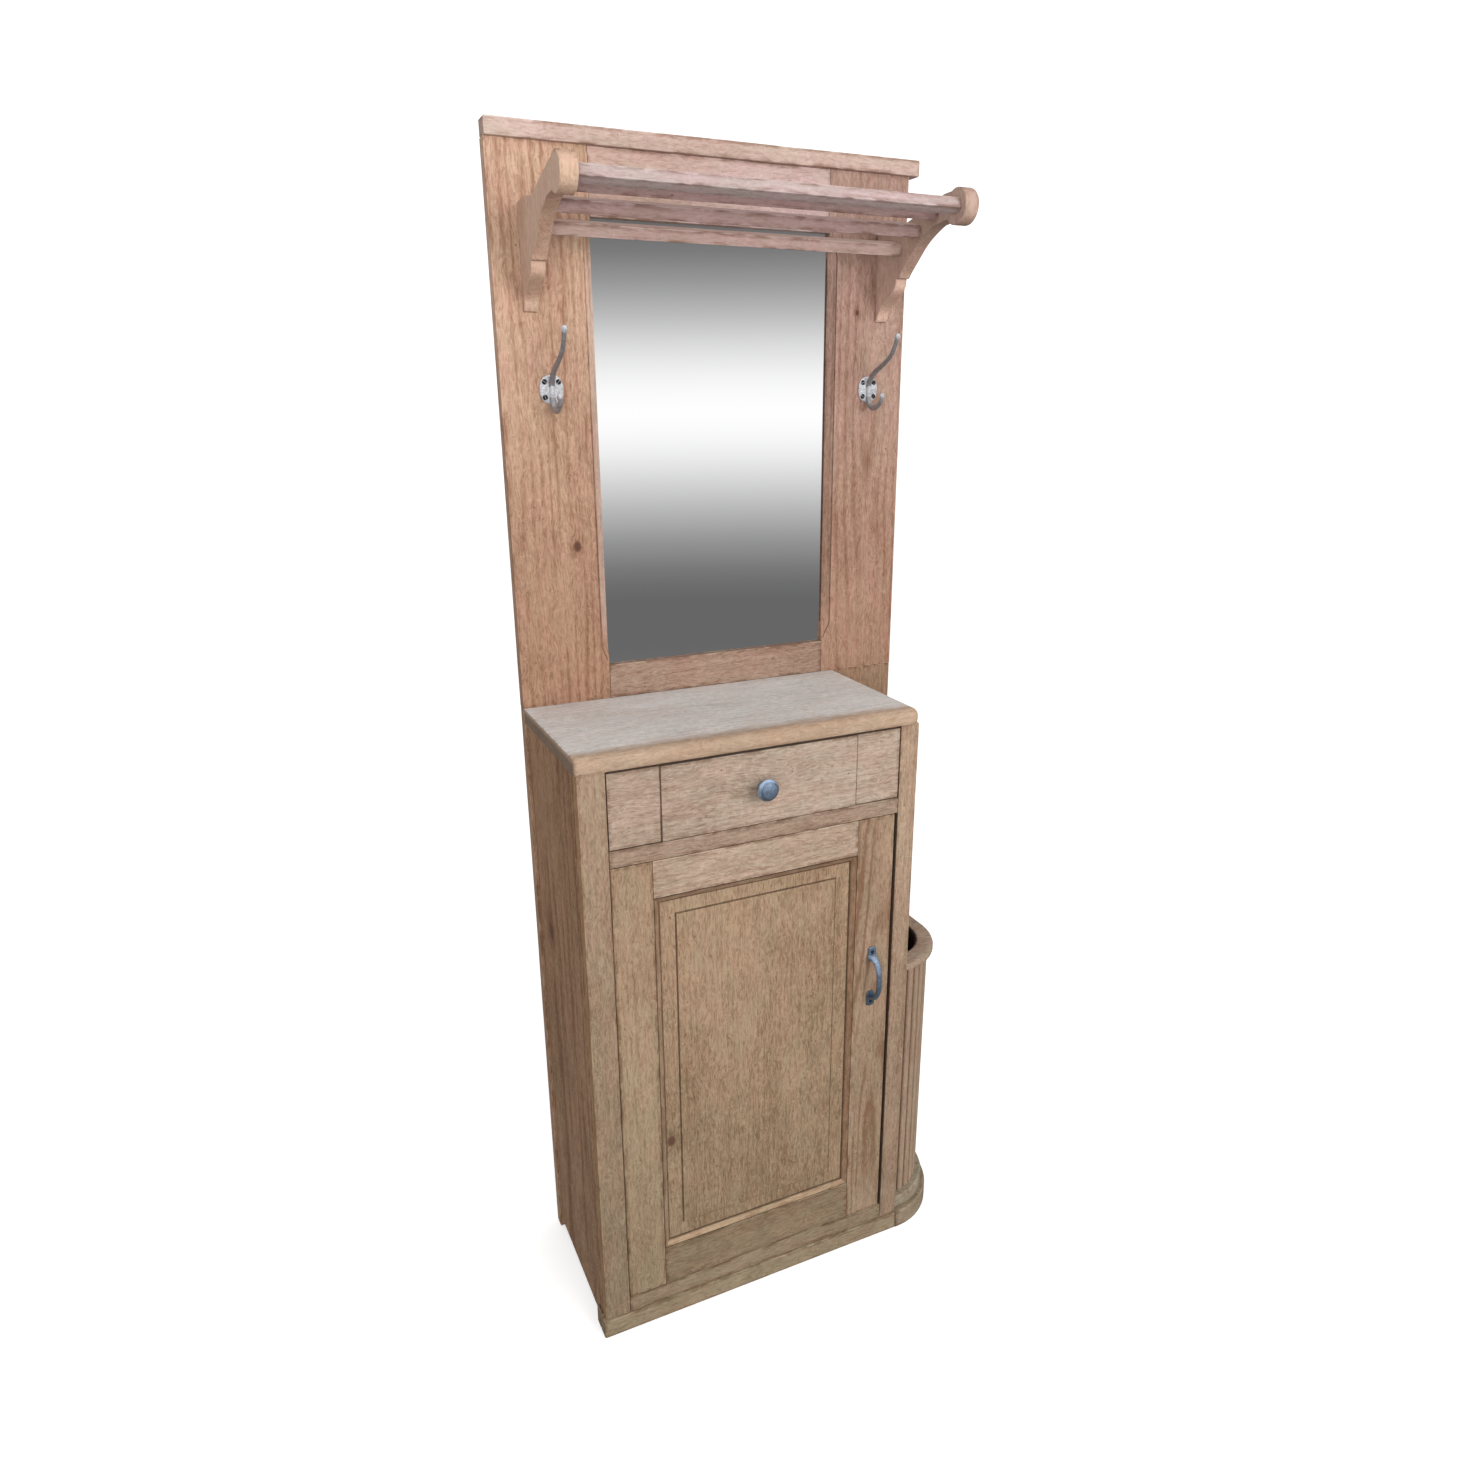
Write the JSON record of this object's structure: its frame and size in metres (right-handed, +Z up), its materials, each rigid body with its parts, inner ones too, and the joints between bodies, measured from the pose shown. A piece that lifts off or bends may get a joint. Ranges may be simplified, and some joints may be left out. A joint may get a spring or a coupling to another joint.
{
  "type": "hall tree with hooks",
  "caption": "Narrow oak hall tree: mirror panel with hat rack and coat hooks over a drawer and door cabinet, with a rounded umbrella stand at one side.",
  "frame": {"origin": "middle of the base, on the floor, under the middle of the whole object's box", "axes": "+Z up; -Y towards the room, where the door and drawer face; +X to the side with the umbrella stand"},
  "size_m": [0.722, 0.3274, 1.9],
  "materials": {
    "oak_upper": "bare brushed oak, matt, slightly pink",
    "oak_cabinet": "bare brushed oak, matt, grey-brown",
    "oak_counter": "worn bare oak, greyed",
    "oak_inside": "sawn oak, unfinished",
    "mirror_silver": "silvered glass",
    "backing": "thin backing board, unfinished",
    "hook_iron": "burnished cast iron",
    "pull_iron": "waxed dark iron",
    "steel": "plain steel pin"
  },
  "bodies": {
    "carcass": {"cap_board": "oak_upper", "upper_left_stile": "oak_upper", "upper_right_stile": "oak_upper", "upper_top_rail": "oak_upper", "upper_bottom_rail": "oak_upper", "rack_bracket_left": "oak_upper", "rack_bracket_right": "oak_upper", "rack_slat_1": "oak_upper", "rack_slat_2": "oak_upper", "rack_slat_3": "oak_upper", "rack_slat_4": "oak_upper", "lower_back_board": "oak_cabinet", "side_panel_left": "oak_cabinet", "side_panel_right": "oak_cabinet", "front_stile_left": "oak_cabinet", "front_stile_right": "oak_cabinet", "drawer_rail": "oak_cabinet", "bottom_rail": "oak_cabinet", "plinth_front": "oak_cabinet", "plinth_return": "oak_cabinet", "umbrella_plinth": "oak_cabinet", "umbrella_base": "oak_cabinet", "umbrella_shell": "oak_cabinet", "umbrella_rim": "oak_cabinet", "counter_top": "oak_counter", "cabinet_floor": "oak_inside", "drawer_runner_left": "oak_inside", "drawer_runner_right": "oak_inside", "door_stop": "oak_inside", "mirror_glass": "mirror_silver", "mirror_backing": "backing", "coat_hook_left": "hook_iron", "coat_hook_right": "hook_iron", "hinge_pin_top": "steel", "hinge_pin_bottom": "steel"},
    "drawer": {"drawer_front": "oak_cabinet", "drawer_side_left": "oak_inside", "drawer_side_right": "oak_inside", "drawer_back": "oak_inside", "drawer_bottom": "oak_inside", "drawer_knob": "pull_iron"},
    "door": {"door_stile_left": "oak_cabinet", "door_stile_right": "oak_cabinet", "door_rail_bottom": "oak_cabinet", "door_rail_top": "oak_cabinet", "door_panel": "oak_cabinet", "door_bead_left": "oak_cabinet", "door_bead_right": "oak_cabinet", "door_bead_bottom": "oak_cabinet", "door_bead_top": "oak_cabinet", "door_handle": "pull_iron", "handle_screw_top": "pull_iron", "handle_screw_bottom": "pull_iron"}
  },
  "joints": [
    {"name": "drawer_slide", "type": "slide", "parent": "carcass", "child": "drawer", "axis": [0, -1, 0], "range_m": [0, 0.19]},
    {"name": "door_hinge", "type": "hinge", "parent": "carcass", "child": "door", "pos_m": [-0.308, -0.12855, 0.467], "axis": [0, 0, -1], "range_deg": [0, 95]}
  ]
}
